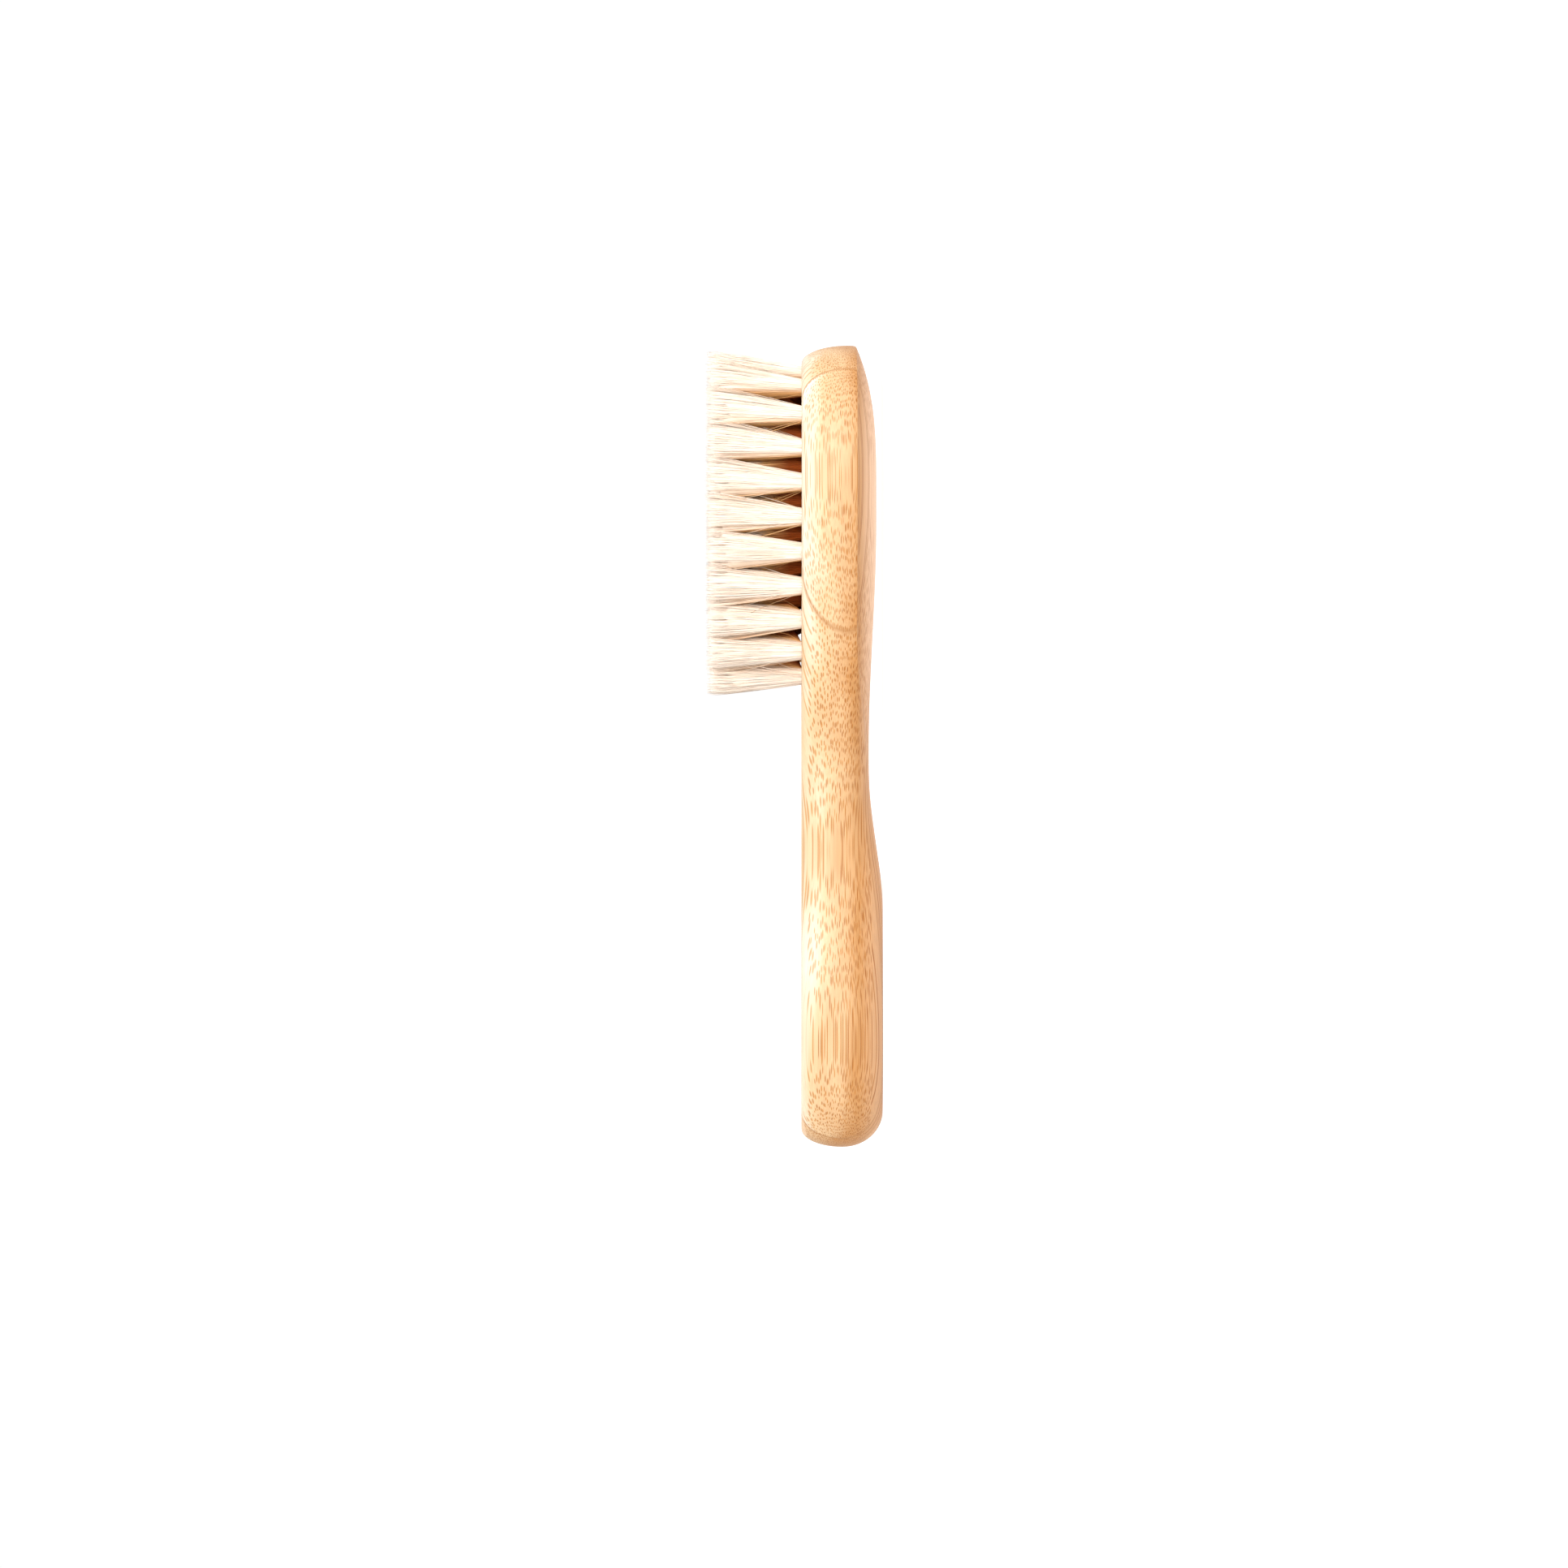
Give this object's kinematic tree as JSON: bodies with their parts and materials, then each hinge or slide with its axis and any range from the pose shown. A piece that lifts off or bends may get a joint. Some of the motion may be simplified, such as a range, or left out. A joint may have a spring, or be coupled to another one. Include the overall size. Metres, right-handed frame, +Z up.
{
  "type": "beard brush",
  "caption": "Hand brush with an oval laminated bamboo head, a waisted neck and rounded handle, and a flat-trimmed field of soft goat-hair tufts for grooming a beard.",
  "frame": {"origin": "middle of the footprint, level with the flat back of the handle that the brush lies on", "axes": "+X along the brush from the butt of the handle to the end of the head, +Y across the head, +Z up through the tufts from the back to the trimmed tips"},
  "size_m": [0.16, 0.0452, 0.0354],
  "materials": {
    "bamboo_center": "sanded and lightly oiled",
    "bamboo_inner": "sanded and lightly oiled",
    "bamboo_outer": "sanded and lightly oiled",
    "goat_hair": "soft matt hair"
  },
  "bodies": {
    "root": {"ply_center": "bamboo_center", "ply_inner_left": "bamboo_inner", "ply_inner_right": "bamboo_inner", "ply_outer_left": "bamboo_outer", "ply_outer_right": "bamboo_outer", "tuft_outer_01": "goat_hair", "tuft_outer_02": "goat_hair", "tuft_outer_03": "goat_hair", "tuft_outer_04": "goat_hair", "tuft_outer_05": "goat_hair", "tuft_outer_06": "goat_hair", "tuft_outer_07": "goat_hair", "tuft_outer_08": "goat_hair", "tuft_outer_09": "goat_hair", "tuft_outer_10": "goat_hair", "tuft_outer_11": "goat_hair", "tuft_outer_12": "goat_hair", "tuft_outer_13": "goat_hair", "tuft_outer_14": "goat_hair", "tuft_outer_15": "goat_hair", "tuft_outer_16": "goat_hair", "tuft_outer_17": "goat_hair", "tuft_outer_18": "goat_hair", "tuft_outer_19": "goat_hair", "tuft_outer_20": "goat_hair", "tuft_outer_21": "goat_hair", "tuft_outer_22": "goat_hair", "tuft_middle_01": "goat_hair", "tuft_middle_02": "goat_hair", "tuft_middle_03": "goat_hair", "tuft_middle_04": "goat_hair", "tuft_middle_05": "goat_hair", "tuft_middle_06": "goat_hair", "tuft_middle_07": "goat_hair", "tuft_middle_08": "goat_hair", "tuft_middle_09": "goat_hair", "tuft_middle_10": "goat_hair", "tuft_middle_11": "goat_hair", "tuft_middle_12": "goat_hair", "tuft_middle_13": "goat_hair", "tuft_middle_14": "goat_hair", "tuft_middle_15": "goat_hair", "tuft_middle_16": "goat_hair", "tuft_inner_01": "goat_hair", "tuft_inner_02": "goat_hair", "tuft_inner_03": "goat_hair", "tuft_inner_04": "goat_hair", "tuft_inner_05": "goat_hair", "tuft_inner_06": "goat_hair", "tuft_inner_07": "goat_hair", "tuft_inner_08": "goat_hair"}
  },
  "joints": []
}
